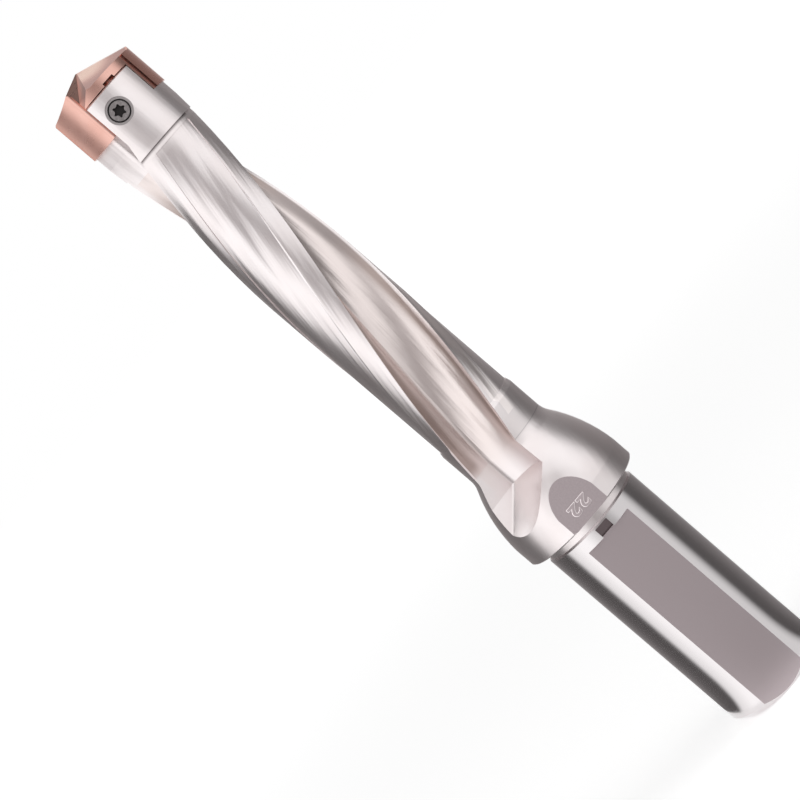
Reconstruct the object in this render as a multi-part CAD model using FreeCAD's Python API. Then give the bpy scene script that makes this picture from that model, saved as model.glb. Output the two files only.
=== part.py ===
"""Indexable insert drill: steel holder, carbide drilling crown and its clamp screw.

Millimetres. The drill stands on its shank: +Z runs along the axis to the point and the origin is
the centre of the shank's end face. The clamp screw and the flats face -Y. Distances along the
drill are measured back from the point, as on a drill drawing, and height() turns them into Z.
Angles are measured from +X, anticlockwise seen from the point.
"""
import FreeCAD
import Part

import math
import os

# Drilling diameter and main stations, measured back from the point
drill_diameter = 22.0
flute_end = 116.5
flange_rear = 138.0
shank_length = 56.0
shank_diameter = 25.0

# Holder head, the two jaws that hold the crown
head_diameter = 21.3
jaw_front = 7.0
jaw_chamfer = 0.3
jaw_rear = 22.1
jaw_groove_width = 1.2
jaw_groove_diameter = 20.7

# Fluted body
body_diameter = 20.9
land_end = 107.7
neck_diameter = 21.4
neck_chamfer = 1.2

# Flute section
flute_lead = 240.0
twist_start = 18.0
leading_edge_angle = -11.0
core_diameter = 8.0
floor_radius = 9.1
floor_axis_angle = 34.5
root_radius = 1.6
flute_reach = 22.0

# Guide margins on each land
margin_angle = 20.8
heel_margin_angle = 21.0
land_relief = 0.18

# Way out of each flute through the flange
exit_start = 123.2
exit_back = 0.562
exit_side = 0.735
exit_rise = 0.410
exit_travel = 22.0

# Flange behind the flutes
flange_diameter = 31.0
flange_band = 4.3
flange_chamfer = 0.3
ball_radius = 34.0
ball_crown_setback = 2.0
ball_rings = 4
neck_fillet = 5.0
size_flat_width = 10.3

# Shank
groove_width = 2.05
groove_diameter = 24.0
shank_front_chamfer = 0.4
shank_rear_chamfer = 2.0
shank_flat_width = 12.2
shank_flat_gap = 5.2
shank_flat_corner = 0.6
shank_flat_runout = 0.3
notch_width = 3.4
notch_length = 2.4
notch_depth = 2.4

# Coolant supply
supply_bore = 8.0
supply_depth = 44.0
supply_chamfer = 0.8
supply_tip_angle = 118.0
channel_diameter = 2.4
channel_radius = 6.8
channel_angle = -62.0
channel_join = 136.0
channel_lengths = 6

# Crown
point_angle = 140.0
crown_rear = 14.4
crown_cap_gap = 0.15
cap_diameter = 21.2
cap_side = 9.0
ledge_station = 4.8
corner_chamfer = 0.6
blade_thickness = 7.0
blade_fit = 0.02
wing_side = 7.9
wing_fit = 0.1
screw_notch_width = 3.8
primary_relief = 9.0
primary_width = 2.2
secondary_relief = 27.0

# Room in front of each cutting edge, as distances beside and in front of the axis
cutting_edge_lead = 0.9
gullet_root_start = 2.6
gullet_root_side = 5.2
gullet_root_front = 1.25
gullet_hollow_side = 8.0
gullet_hollow_front = 0.55

# Gash that thins the web: where it starts and what its two faces look towards
gash_station = 0.15
gash_front = 0.4
gash_rake_facing = (-0.024, -0.762, 0.646)
gash_back_facing = (-0.624, -0.241, 0.743)

# Coolant outlet under the crown's cap
outlet_width = 2.8
outlet_height = 0.6

# Clamp screw
screw_station = 12.2
screw_diameter = 3.5
screw_head_diameter = 4.5
screw_head_fit = 0.08
screw_head_recess = 0.5
screw_head_rim = 0.5
screw_head_bevel = 0.15
screw_length = 16.5
screw_cone_angle = 60.0
thread_fit = 0.02
counterbore_diameter = 5.8
drive_across = 2.8
drive_waist = 2.0
drive_lobe_radius = 0.25
drive_depth = 1.5

# How far tools run past what they cut, and a size beyond every surface
past = 5.0
far = 60.0

overall_length = flange_rear + shank_length
point_slope = math.tan(math.radians(90 - point_angle / 2))
up = FreeCAD.Vector(0, 0, 1)
inward = FreeCAD.Vector(0, 1, 0)


def height(from_point):
    """Z of a station measured back from the point."""
    return overall_length - from_point


def polar(radius, angle, z=0.0):
    """Point at a radius and an angle in degrees."""
    turn = math.radians(angle)
    return FreeCAD.Vector(radius * math.cos(turn), radius * math.sin(turn), z)


def solid_of_revolution(edges):
    """Revolve a closed outline in the XZ plane about the axis, with its seam on the flats' side."""
    turned = Part.Face(Part.Wire(edges)).revolve(FreeCAD.Vector(0, 0, 0), up, 360)
    turned.rotate(FreeCAD.Vector(0, 0, 0), up, -90)
    return turned


def polyline(points):
    """Straight edges through a list of points."""
    return [Part.makeLine(a, b) for a, b in zip(points, points[1:])]


def arc(start, middle, end):
    """Edge of the arc through three points."""
    return Part.Arc(start, middle, end).toShape()


def both_sides(shape):
    """A shape and its copy turned half a turn about the drill's axis."""
    copy = shape.copy()
    copy.rotate(FreeCAD.Vector(0, 0, 0), up, 180)
    return [shape, copy]


def box_between(x0, x1, y0, y1, z0, z1):
    """Block between two corners."""
    return Part.makeBox(x1 - x0, y1 - y0, z1 - z0, FreeCAD.Vector(x0, y0, z0))


def half_space(point, facing):
    """Block that fills the side of a plane that the plane looks towards."""
    block = Part.makeBox(far, far, far, FreeCAD.Vector(-far / 2, -far / 2, 0))
    block.Placement = FreeCAD.Placement(point, FreeCAD.Rotation(up, FreeCAD.Vector(*facing)))
    return block


def tube_between(inner, outer, rear, front):
    """Ring about the axis between two radii and two stations."""
    base = FreeCAD.Vector(0, 0, height(rear))
    length = rear - front
    return Part.makeCylinder(outer, length, base).cut(Part.makeCylinder(inner, length, base))


def twist_between(front, rear):
    """Degrees that a flute turns between two stations."""
    return (rear - front) * 360 / flute_lead


def twisted(wire, rear, front):
    """Sweep a wire at the rear station forwards, turning with the flutes' lead."""
    length = rear - front
    base = FreeCAD.Vector(0, 0, height(rear))
    spine = Part.Wire([Part.makeLine(base, base + up * length)])
    guide = Part.makeHelix(flute_lead, length, body_diameter / 2)
    guide.translate(base)
    sweep = Part.BRepOffsetAPI.MakePipeShell(spine)
    sweep.setAuxiliarySpine(Part.Wire(guide.Edges), True, 0)
    sweep.add(wire)
    sweep.build()
    sweep.makeSolid()
    return Part.Solid(sweep.shape())


def heel_spread():
    """Angle from the middle of a flute's floor to its heel edge."""
    body = body_diameter / 2
    centre = core_diameter / 2 + floor_radius
    return math.degrees(math.acos((body ** 2 + centre ** 2 - floor_radius ** 2) / (2 * body * centre)))


def middle_of_arc(centre, start, end):
    """Point halfway along the short arc between two points of a circle."""
    radius = (start - centre).Length
    return centre + ((start - centre) + (end - centre)).normalize() * radius


def flute_section(turn, station):
    """Outline of one flute: radial rake wall, rounded root, hollow floor and heel wall."""
    start = leading_edge_angle + turn
    floor_angle = start + floor_axis_angle
    floor_centre = polar(core_diameter / 2 + floor_radius, floor_angle)
    along = polar(1, start)
    across = polar(1, start + 90)

    # The root is tangent to the rake wall and to the floor
    inner = floor_radius - root_radius
    root_reach = floor_centre.dot(along) - math.sqrt(inner ** 2 - (floor_centre.dot(across) - root_radius) ** 2)
    root_start = along * root_reach
    root_centre = root_start + across * root_radius
    root_end = floor_centre + (root_centre - floor_centre).normalize() * floor_radius

    # The heel wall goes on along the floor's tangent
    heel = polar(body_diameter / 2, floor_angle + heel_spread())
    from_centre = (heel - floor_centre).normalize()
    heel_far = heel + FreeCAD.Vector(from_centre.y, -from_centre.x, 0) * (flute_reach - body_diameter / 2)
    wall_far = polar(flute_reach, start)
    wire = Part.Wire([
        Part.makeLine(wall_far, root_start),
        arc(root_start, middle_of_arc(root_centre, root_start, root_end), root_end),
        arc(root_end, polar(core_diameter / 2, floor_angle), heel),
        Part.makeLine(heel, heel_far),
        Part.makeLine(heel_far, wall_far),
    ])
    wire.translate(up * height(station))
    return wire


def flute_cutters():
    """One whole flute: straight at the crown, helical, straight again and out through the flange."""
    rear_turn = -twist_between(twist_start, flute_end)
    front = Part.Face(flute_section(0, twist_start)).extrude(up * (twist_start + past))
    middle = twisted(flute_section(rear_turn, flute_end), flute_end, twist_start)
    back_face = Part.Face(flute_section(rear_turn, flute_end))
    back = back_face.extrude(up * (flute_end - exit_start))
    exit_face = Part.Face(flute_section(rear_turn, exit_start))
    way = FreeCAD.Vector(-exit_side, -exit_rise, -exit_back).normalize()
    return [front, middle, back, exit_face.extrude(way * exit_travel)]


def land_relief_cutter():
    """Thin helical strip that lowers a land between its two guide margins."""
    turn = leading_edge_angle - twist_between(twist_start, land_end)
    land_angle = 180 - floor_axis_angle - heel_spread()
    start = turn - margin_angle
    end = turn - land_angle + heel_margin_angle
    relieved = body_diameter / 2 - land_relief
    inner = relieved * math.cos(math.radians(start - end) / 2) - past / 2
    outer = body_diameter
    z = height(land_end)
    corners = [polar(inner, start, z), polar(inner, end, z), polar(outer, end, z), polar(outer, start, z)]
    front = jaw_rear + jaw_groove_width
    wedge = twisted(Part.Wire(polyline(corners + corners[:1])), land_end, front)
    return wedge.common(tube_between(relieved, body_diameter / 2 + past / 2, land_end, front))


def holder_blank():
    """Turned outline of the holder, from the jaws' front to the shank's end."""
    head = head_diameter / 2
    groove = jaw_groove_diameter / 2
    body = body_diameter / 2
    neck = neck_diameter / 2
    shank = shank_diameter / 2
    relief = groove_diameter / 2
    groove_rear = flange_rear + groove_width

    # The neck's fillet is tangent to the neck and to the flange's ball
    band = flange_diameter / 2
    band_front = flange_rear - flange_chamfer - flange_band
    ball_top = band_front + ball_crown_setback
    ball_axis = band - math.sqrt(ball_radius ** 2 - ball_crown_setback ** 2)
    fillet_axis = neck + neck_fillet
    reach = ball_radius + neck_fillet
    fillet_station = ball_top - math.sqrt(reach ** 2 - (fillet_axis - ball_axis) ** 2)
    ball_front = ball_top + (fillet_station - ball_top) * ball_radius / reach

    def at(radius, station):
        return FreeCAD.Vector(radius, 0, height(station))

    def ball_reach(station):
        return ball_axis + math.sqrt(ball_radius ** 2 - (ball_top - station) ** 2)

    fillet_start = at(neck, fillet_station)
    fillet_end = at(ball_reach(ball_front), ball_front)
    fillet = arc(fillet_start, middle_of_arc(at(fillet_axis, fillet_station), fillet_start, fillet_end), fillet_end)
    fluted = polyline([
        at(0, ball_front),
        at(0, jaw_front),
        at(head - jaw_chamfer, jaw_front),
        at(head, jaw_front + jaw_chamfer),
        at(head, jaw_rear),
        at(groove, jaw_rear),
        at(body, jaw_rear + jaw_groove_width),
        at(body, land_end),
        at(neck, land_end + neck_chamfer),
        fillet_start,
    ])
    rear = polyline([
        at(0, band_front),
        at(band, band_front),
        at(band, flange_rear - flange_chamfer),
        at(band - flange_chamfer, flange_rear),
        at(relief, flange_rear),
        at(relief, groove_rear),
        at(shank - shank_front_chamfer, groove_rear),
        at(shank, groove_rear + shank_front_chamfer),
        at(shank, overall_length - shank_rear_chamfer),
        at(shank - shank_rear_chamfer, overall_length),
        at(0, overall_length),
        at(0, band_front),
    ])
    ball = ball_between(ball_front, band_front, ball_reach)
    front = solid_of_revolution(fluted + [fillet] + polyline([fillet_end, at(0, ball_front)]))
    return front.fuse([ball, solid_of_revolution(rear)])


def ball_between(front, rear, reach):
    """Smooth skin through rings whose radius is a function of the station."""
    rings = []
    for step in range(ball_rings + 1):
        station = front + (rear - front) * step / ball_rings
        rings.append(Part.Wire([Part.makeCircle(reach(station), FreeCAD.Vector(0, 0, height(station)))]))
    ball = Part.makeLoft(rings, True)
    ball.rotate(FreeCAD.Vector(0, 0, 0), up, -90)
    return ball


def crown_pocket():
    """Slot across the jaws, and the shoulders that the crown's wings stand on."""
    half = blade_thickness / 2 + blade_fit
    floor = height(crown_rear)
    top = height(jaw_front) + past
    slot = box_between(-far / 2, far / 2, -half, half, floor, top)
    wing = box_between(wing_side - wing_fit / 2, far / 2, -far / 2, half, floor, top)
    return [slot] + both_sides(wing)


def coolant_ways():
    """Supply bore from the shank's end, and two channels along the lands to the jaws' fronts."""
    radius = channel_diameter / 2
    bore = Part.makeCylinder(supply_bore / 2, supply_depth)
    mouth = Part.makeCone(supply_bore / 2 + supply_chamfer, supply_bore / 2, supply_chamfer)
    tip = supply_bore / 2 / math.tan(math.radians(supply_tip_angle / 2))
    cone = Part.makeCone(supply_bore / 2, 0, tip, FreeCAD.Vector(0, 0, supply_depth))
    helical = channel_along_land()
    straight = Part.makeCylinder(radius, twist_start, polar(channel_radius, channel_angle, height(twist_start)))
    join = polar(channel_radius, channel_angle - twist_between(twist_start, channel_join), height(channel_join))
    reach = FreeCAD.Vector(0, 0, supply_depth - supply_bore / 2) - join
    joint = Part.makeCylinder(radius, reach.Length, join, reach)
    ball = Part.makeSphere(radius, join)
    ways = [bore, mouth, cone]
    for piece in (helical, straight, joint, ball):
        ways += both_sides(piece)
    return ways


def channel_along_land():
    """Channel that follows the flutes' helix in straight lengths with mitred joints."""
    points = []
    for step in range(channel_lengths + 1):
        station = channel_join + (twist_start - channel_join) * step / channel_lengths
        turn = twist_between(twist_start, station)
        points.append(polar(channel_radius, channel_angle - turn, height(station)))
    sweep = Part.BRepOffsetAPI.MakePipeShell(Part.Wire(polyline(points)))
    sweep.setTransitionMode(1)
    sweep.add(Part.Wire([Part.makeCircle(channel_diameter / 2, points[0], points[1] - points[0])]))
    sweep.build()
    sweep.makeSolid()
    return Part.Solid(sweep.shape())


def shank_features():
    """Clamping flat, the notch in front of it and the flat that carries the size on the flange."""
    flat_level = math.sqrt((shank_diameter / 2) ** 2 - (shank_flat_width / 2) ** 2)
    flat_front = height(flange_rear + shank_flat_gap)
    half = shank_flat_width / 2 + shank_flat_runout
    flat = box_between(-half, half, -far / 2, -flat_level, -past, flat_front)
    corners = [e for e in flat.Edges if abs(e.CenterOfMass.z - flat_front) < 1e-6 and is_crosswise(e)]
    flat = flat.makeFillet(shank_flat_corner, corners)
    half_notch = notch_width / 2
    notch_floor = shank_diameter / 2 - notch_depth
    notch = box_between(-half_notch, half_notch, -far / 2, -notch_floor, flat_front, flat_front + notch_length)
    size_level = math.sqrt((flange_diameter / 2) ** 2 - (size_flat_width / 2) ** 2)
    flange_back = height(flange_rear)
    size_flat = box_between(-far / 4, far / 4, -far / 2, -size_level, flange_back - past / 5, flange_back + 4 * past)
    return [flat, notch, size_flat]


def is_crosswise(edge):
    """Whether a straight edge runs along Y, into the shank."""
    return abs(edge.tangentAt(edge.FirstParameter).y) > 0.99


def screw_seat():
    """Hole across the jaws for the clamp screw, with its counterbore, head bore and cone seat."""
    z = height(screw_station)
    ledge = head_diameter / 2 - screw_head_recess
    rim_level = ledge - screw_head_rim
    outward = inward * -1
    hole = Part.makeCylinder(screw_diameter / 2 + thread_fit, far, FreeCAD.Vector(0, -far / 2, z), inward)
    counterbore = Part.makeCylinder(counterbore_diameter / 2, far, FreeCAD.Vector(0, -ledge, z), outward)
    head_bore = screw_head_diameter / 2 + screw_head_fit
    bore = Part.makeCylinder(head_bore, screw_head_rim, FreeCAD.Vector(0, -rim_level, z), outward)
    return [hole, counterbore, bore, head_cone(rim_level, z)]


def head_cone(rim_level, z):
    """Cone under the screw's head, from its rim down to the shaft."""
    wide = screw_head_diameter / 2
    narrow = screw_diameter / 2
    depth = (wide - narrow) / math.tan(math.radians(screw_cone_angle / 2))
    return Part.makeCone(wide, narrow, depth, FreeCAD.Vector(0, -rim_level, z), inward)


def make_holder():
    """The holder: jaws, flutes, flange and shank in one piece of steel."""
    tools = []
    for piece in flute_cutters() + [land_relief_cutter()]:
        tools += both_sides(piece)
    tools += crown_pocket() + coolant_ways() + shank_features() + screw_seat()
    body = holder_blank()
    for tool in tools:
        body = body.cut(tool)
    return body


def flute_side():
    """Distance from the axis to the side of a jaw that faces its flute."""
    heel_angle = leading_edge_angle + floor_axis_angle + heel_spread() + 180
    return abs(head_diameter / 2 * math.cos(math.radians(heel_angle)))


def rake_gullet():
    """Room in front of one cutting edge: side wall, rounded root and hollow rake face."""
    side = flute_side()
    root_start = FreeCAD.Vector(-side, -gullet_root_start, 0)
    root_end = FreeCAD.Vector(-gullet_root_side, -gullet_root_front, 0)
    run = gullet_root_side - side
    rise = gullet_root_start - gullet_root_front
    root_centre = root_start - FreeCAD.Vector((run ** 2 + rise ** 2) / (2 * run), 0, 0)
    hollow = FreeCAD.Vector(-gullet_hollow_side, -gullet_hollow_front, 0)
    corner = FreeCAD.Vector(-drill_diameter / 2, -cutting_edge_lead, 0)
    outside = [
        corner,
        FreeCAD.Vector(-far / 2, -cutting_edge_lead, 0),
        FreeCAD.Vector(-far / 2, -far / 2, 0),
        FreeCAD.Vector(-side, -far / 2, 0),
        root_start,
    ]
    root = arc(root_start, middle_of_arc(root_centre, root_start, root_end), root_end)
    face = Part.Face(Part.Wire([root, arc(root_end, hollow, corner)] + polyline(outside)))
    face.translate(up * (height(crown_rear) - past))
    return face.extrude(up * (crown_rear + 2 * past))


def flank_cutters():
    """What the two relief faces behind a cutting edge take off the point, down to the cap's ledge."""
    primary = math.tan(math.radians(primary_relief))
    secondary = math.tan(math.radians(secondary_relief))
    edge_level = height(0) + primary * cutting_edge_lead
    step_front = cutting_edge_lead - primary_width
    step_level = edge_level - primary * primary_width
    first = half_space(FreeCAD.Vector(0, cutting_edge_lead, edge_level), (point_slope, -primary, 1))
    second = half_space(FreeCAD.Vector(0, step_front, step_level), (point_slope, -secondary, 1))
    above = box_between(-far / 2, far / 2, -far / 2, far / 2, height(ledge_station), height(0) + past)
    return [first, second.common(above)]


def gash():
    """Groove that thins the web: a rake facet and a back face that meet in a valley."""
    start = FreeCAD.Vector(0, -gash_front, height(gash_station))
    return half_space(start, gash_rake_facing).common(half_space(start, gash_back_facing))


def coolant_outlet():
    """Slot in the cap's underside that leads the coolant out in front of a jaw."""
    centre = polar(channel_radius, channel_angle, cap_underside() - past)
    top = cap_underside() + outlet_height
    half = outlet_width / 2
    end = Part.makeCylinder(half, outlet_height + past, centre)
    run = box_between(centre.x - half, centre.x + half, -far / 2, centre.y, centre.z, top)
    return end.fuse(run)


def cap_underside():
    """Level of the crown's cap above the jaws' fronts."""
    return height(jaw_front) + crown_cap_gap


def crown_blank():
    """Blade, wings and cap of the crown before the point is ground."""
    radius = drill_diameter / 2
    half = blade_thickness / 2
    cone_rim = radius - corner_chamfer
    stock = cutting_edge_lead * point_slope
    rim_station = cone_rim * point_slope - stock

    def at(r, station):
        return FreeCAD.Vector(r, 0, height(station))

    outline = polyline([
        at(0, -stock),
        at(cone_rim, rim_station),
        at(radius, rim_station + corner_chamfer),
        at(radius, crown_rear),
        at(0, crown_rear),
        at(0, -stock),
    ])
    below = height(crown_rear) - past
    above = height(0) + past
    jaw_room = box_between(-far / 2, wing_side + wing_fit / 2, -far / 2, -half, below, cap_underside())
    cap_side_room = box_between(-far / 2, cap_side, -far / 2, -half, below, above)
    cap_rim = tube_between(cap_diameter / 2, drill_diameter, crown_rear, 0).common(cap_side_room)
    disc = solid_of_revolution(outline)
    for tool in both_sides(jaw_room) + both_sides(cap_rim):
        disc = disc.cut(tool)
    return disc


def screw_notch():
    """Notch in the blade's rear edge that the clamp screw passes through."""
    half = screw_notch_width / 2
    z = height(screw_station)
    round_end = Part.makeCylinder(half, far, FreeCAD.Vector(0, -far / 2, z), inward)
    mouth = box_between(-half, half, -far / 2, far / 2, height(crown_rear) - past, z)
    return round_end.fuse(mouth)


def make_crown():
    """Carbide crown with two cutting edges, held between the jaws."""
    tools = [screw_notch()]
    for piece in [rake_gullet()] + flank_cutters() + [gash(), coolant_outlet()]:
        tools += both_sides(piece)
    crown = crown_blank()
    for tool in tools:
        crown = crown.cut(tool)
    return crown.removeSplitter()


def make_screw():
    """Countersunk clamp screw with a six-lobe drive."""
    z = height(screw_station)
    top = FreeCAD.Vector(0, screw_head_recess - head_diameter / 2, z)
    rim = Part.makeCylinder(screw_head_diameter / 2, screw_head_rim, top, inward)
    rim = rim.makeChamfer(screw_head_bevel, [e for e in rim.Edges if abs(e.BoundBox.YMax - top.y) < 0.01])
    cone = head_cone(-top.y - screw_head_rim, z)
    shaft = Part.makeCylinder(screw_diameter / 2, screw_length, top, inward)
    drive = six_lobe().extrude(inward * drive_depth)
    drive.translate(top)
    return rim.fuse([cone, shaft]).removeSplitter().cut(drive)


def six_lobe():
    """Six-lobe drive outline in the XZ plane: round lobes joined by tangent hollow arcs."""
    waist = drive_waist / 2
    lobe_reach = drive_across / 2 - drive_lobe_radius
    apart = lobe_reach * math.cos(math.radians(30))
    hollow_top = lobe_reach ** 2 + waist ** 2 - 2 * waist * apart - drive_lobe_radius ** 2
    hollow_radius = hollow_top / (2 * (drive_lobe_radius - waist + apart))

    def at(radius, angle):
        turn = math.radians(angle)
        return FreeCAD.Vector(radius * math.cos(turn), 0, radius * math.sin(turn))

    def touch(lobe_angle, hollow_angle):
        lobe = at(lobe_reach, lobe_angle)
        hollow = at(waist + hollow_radius, hollow_angle)
        return lobe + (hollow - lobe).normalize() * drive_lobe_radius

    edges = []
    for lobe_angle in range(0, 360, 60):
        before = touch(lobe_angle, lobe_angle - 30)
        after = touch(lobe_angle, lobe_angle + 30)
        edges.append(arc(before, at(drive_across / 2, lobe_angle), after))
        edges.append(arc(after, at(waist, lobe_angle + 30), touch(lobe_angle + 60, lobe_angle + 30)))
    return Part.Face(Part.Wire(edges))


def main():
    os.makedirs("parts", exist_ok=True)
    pieces = {
        "drill_body": make_holder(),
        "tip_insert": make_crown(),
        "clamp_screw": make_screw(),
    }
    for name, shape in pieces.items():
        shape.exportStep(f"parts/{name}.step")
        print(name, shape.isValid(), len(shape.Solids), round(shape.Volume, 2), shape.BoundBox)


main()
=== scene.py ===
"""Looks of the indexable insert drill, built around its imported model.

Metres. The drill stands on its shank with +Z towards the point, and the clamp screw and the flats
face -Y. Stations are distances in millimetres back from the point, as on a drill drawing. A tint
multiplies the channels of a base colour.
"""

import math
from types import SimpleNamespace

import bmesh
import bpy
from bpy.props import FloatProperty, FloatVectorProperty, PointerProperty, StringProperty
from mathutils import Matrix, Vector


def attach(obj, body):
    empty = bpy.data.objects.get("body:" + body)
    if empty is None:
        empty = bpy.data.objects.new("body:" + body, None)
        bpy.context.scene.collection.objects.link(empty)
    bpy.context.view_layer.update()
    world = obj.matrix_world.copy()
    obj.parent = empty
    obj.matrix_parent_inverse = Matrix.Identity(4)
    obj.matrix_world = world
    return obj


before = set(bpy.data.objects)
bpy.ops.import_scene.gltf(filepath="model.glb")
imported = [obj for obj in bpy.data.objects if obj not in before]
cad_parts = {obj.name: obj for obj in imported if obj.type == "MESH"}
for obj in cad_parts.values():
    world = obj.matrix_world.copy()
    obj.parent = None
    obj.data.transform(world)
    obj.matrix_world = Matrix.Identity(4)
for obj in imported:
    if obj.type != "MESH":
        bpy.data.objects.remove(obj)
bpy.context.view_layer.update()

bl_info = {
    "name": "Indexable insert drill",
    "version": (1, 0, 0),
    "blender": (4, 5, 0),
    "location": "3D View > Sidebar > Drill",
    "description": "Finishes, small parts and studio of an indexable insert drill",
    "category": "Object",
}

MM = 0.001
HOLDER = "drill_body"
CROWN = "tip_insert"
SCREW = "clamp_screw"
OVERALL_LENGTH = 194 * MM
TOLERANCE = 0.05 * MM


def height(from_point):
    """Z of a station, given in millimetres back from the point."""
    return OVERALL_LENGTH - from_point * MM


def radians(*degrees):
    """Angles given in degrees."""
    return tuple(math.radians(angle) for angle in degrees)


# Sizes of the holder that its finishes follow
FLUTE_LEAD = 240 * MM
FLUTES_STRAIGHT = 22.0
FLUTE_AXIS_ANGLE = math.radians(119.5)
FLUTE_FLOOR_CENTRE = 13.1 * MM
LEADING_MARGIN_EDGE = math.radians(64.2)
HEEL_MARGIN_EDGE = math.radians(4.18)
LAND_END = 107.7
LAND_DEPTH = 0.3 * MM
BODY_RADIUS = 10.45 * MM
NECK_RADIUS = 10.7 * MM
NECK_LINE = 116.3
JAW_REAR = 22.1
JAW_GROOVE = 1.2
FLANGE_REAR = 138.0
SHANK_FRONT = 140.05
SHANK_FLAT_LEVEL = 10.9106 * MM
SIZE_FLAT_LEVEL = 14.6192 * MM
FLAT_FRONT = 143.2
NOTCH_LENGTH = 2.4
NOTCH_WIDTH = 3.4 * MM
NOTCH_REAR_FIT = 0.03 * MM
NOTCH_RADIUS = 11.2 * MM
NOTCH_REACH = 1.25 * MM
NOTCH_FLOOR = 9.8 * MM

# Sizes of the clamp screw and its seat
SCREW_STATION = 12.2
SCREW_RADIUS = 1.75 * MM
SCREW_THREAD_PITCH = 0.6 * MM
SCREW_THREAD_START = 5.0 * MM
SCREW_TOP = 10.15 * MM
SCREW_HEAD_FACE_RADIUS = 2.06 * MM
DRIVE_RADIUS = 1.6 * MM
DRIVE_DEPTH = 2.0 * MM
SEAT_RADIUS = 2.95 * MM
SEAT_GAP_RADIUS = 2.42 * MM
SEAT_TOP = 10.62 * MM

# Noise of each pattern: its scale, or one for each axis, then its detail and its roughness
PLATE_CLOUD = (90.0, 3.0, 0.5)
FINE_MARKS = ((1700, 1700, 70), 3.0, 0.6)
BROAD_MARKS = ((640, 640, 42), 2.0, 0.5)
SWELLS = ((230, 230, 17), 1.0, 0.5)
SHANK_GRINDING = ((60, 60, 9000), 4.0, 0.65)
FLAT_GRAIN = (2600.0, 3.0, 0.7)
CROWN_CLOUD = (240.0, 3.0, 0.5)
CROWN_GRINDING = ((500, 4200, 500), 3.0, 0.6)
SCREW_WEAR = (1800.0, 3.0, 0.6)

# Part of a pattern's range over which its two colours cross
PLATE_CLOUD_CROSSING = (0.35, 0.7)
GRAIN_CROSSING = (0.3, 0.7)
CROWN_CLOUD_CROSSING = (0.3, 0.7)
SCREW_WEAR_CROSSING = (0.4, 0.75)

# Depths of the relief
FINE_MARK_DEPTH = 0.03 * MM
BROAD_MARK_DEPTH = 0.09 * MM
SWELL_DEPTH = 0.7 * MM
WORN_EDGE_DEPTH = 0.12 * MM
FLAT_GRAIN_DEPTH = 0.01 * MM
CROWN_GRINDING_DEPTH = 0.006 * MM
THREAD_DEPTH = 0.6 * MM

# How far each pattern spreads a roughness, or a strength, about its mean
ROUGHNESS_SPREAD = 0.10
COATING_ROUGHNESS_SPREAD = 0.12
SCREW_ROUGHNESS_SPREAD = 0.15
UNDER_EDGE_SHADE_SPREAD = 0.4

# Stretches of the holder: the station with nothing, the station with all, and the least instead of nothing
IN_FLUTE_REAR = (124, 112)
UNDER_EDGE_SHADE_FRONT = (24, 36)
UNDER_EDGE_SHADE_REAR = (117.5, 114)
UNSHADED_STRIP_FRONT = (70, 88)
HEEL_BAND_SHADE_FRONT = (40, 50)
HEEL_BAND_SHADE_REAR = (72, 60)
LEADING_EDGE_FRONT = (26, 50)
HEEL_STEP_SHADE_FRONT = (44, 66)
MARKS_REAR = (117, 108, 0.12)
MARKS_FRONT = (21, 25, 0.45)
IN_FLUTE_FRONT_END = 24
HEEL_EDGE_HIGHLIGHT_END = 112

# Bands round a flute's wall: start, full, fading and end
UNDER_HEEL = radians(-50.5, -47.5, -44, -30)
UNDER_RAKE = radians(26, 42)
UNSHADED_STRIP = math.radians(3.5)
HEEL_EDGE_HIGHLIGHT_BAND = radians(-51.9, -51.5, -49.3, -47.3)
HEEL_BAND_SHADE_ANGLES = radians(-50.5, -47.5, -40, -29)
HEEL_BAND_SHADE_PEAK = 0.8
UNDER_EDGE = 0.2 * MM
IN_FLUTE_RADII = (BODY_RADIUS - 1.4 * MM, BODY_RADIUS - 0.35 * MM)

# Widths of narrow lines: full as far as the first, nothing past the second
LEADING_EDGE_HIGHLIGHT_WIDTHS = (0.05 * MM, 0.22 * MM)
WORN_EDGE_STEP = (-0.2 * MM, 0.2 * MM)
HEEL_STEP_SHADE_WIDTHS = (0.06 * MM, 0.26 * MM)
HEEL_STEP_SHADE_PEAK = 0.6
NECK_LINE_WIDTHS = (0.02 * MM, 0.16 * MM)
NECK_LINE_DEPTH = 0.15 * MM
NECK_LINE_PEAK = 0.35
GROOVE_SHADE_START = (-0.12 * MM, 0.02 * MM)
GROOVE_SHADE_WIDTHS = (0.10 * MM, 0.75 * MM)
GROOVE_SHADE_PEAK = 0.75
GROOVE_SHADE_RADII = (9.6 * MM, 10.0 * MM)
GROOVE_SHADE_SIDE = 0.5 * MM

# Places on the crown
POINT_ENDS = (3.5 * MM, 9.5 * MM)
POINT_HIGHLIGHT_RADII = (1.0 * MM, 2.5 * MM, 4.0 * MM, 7.5 * MM)
WING_RADII = (10.6 * MM, 10.8 * MM)
MARGIN_BEARING = math.radians(-33.5)
MARGIN_CORNER_REACH = math.radians(3.5)
MARGIN_CORNER_RADIUS = 10.95 * MM
DEEP_RADIUS = 4.85 * MM
DEEP_STATION = 6.5
CORNER_STATION = 5.0

# Parts of a normal along an axis that tell one face from another
FACES_FRONT = 0.995
FACES_POINT = 0.5
FACES_POINT_SQUARELY = 0.8
MARK_TOPS = 0.97

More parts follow.
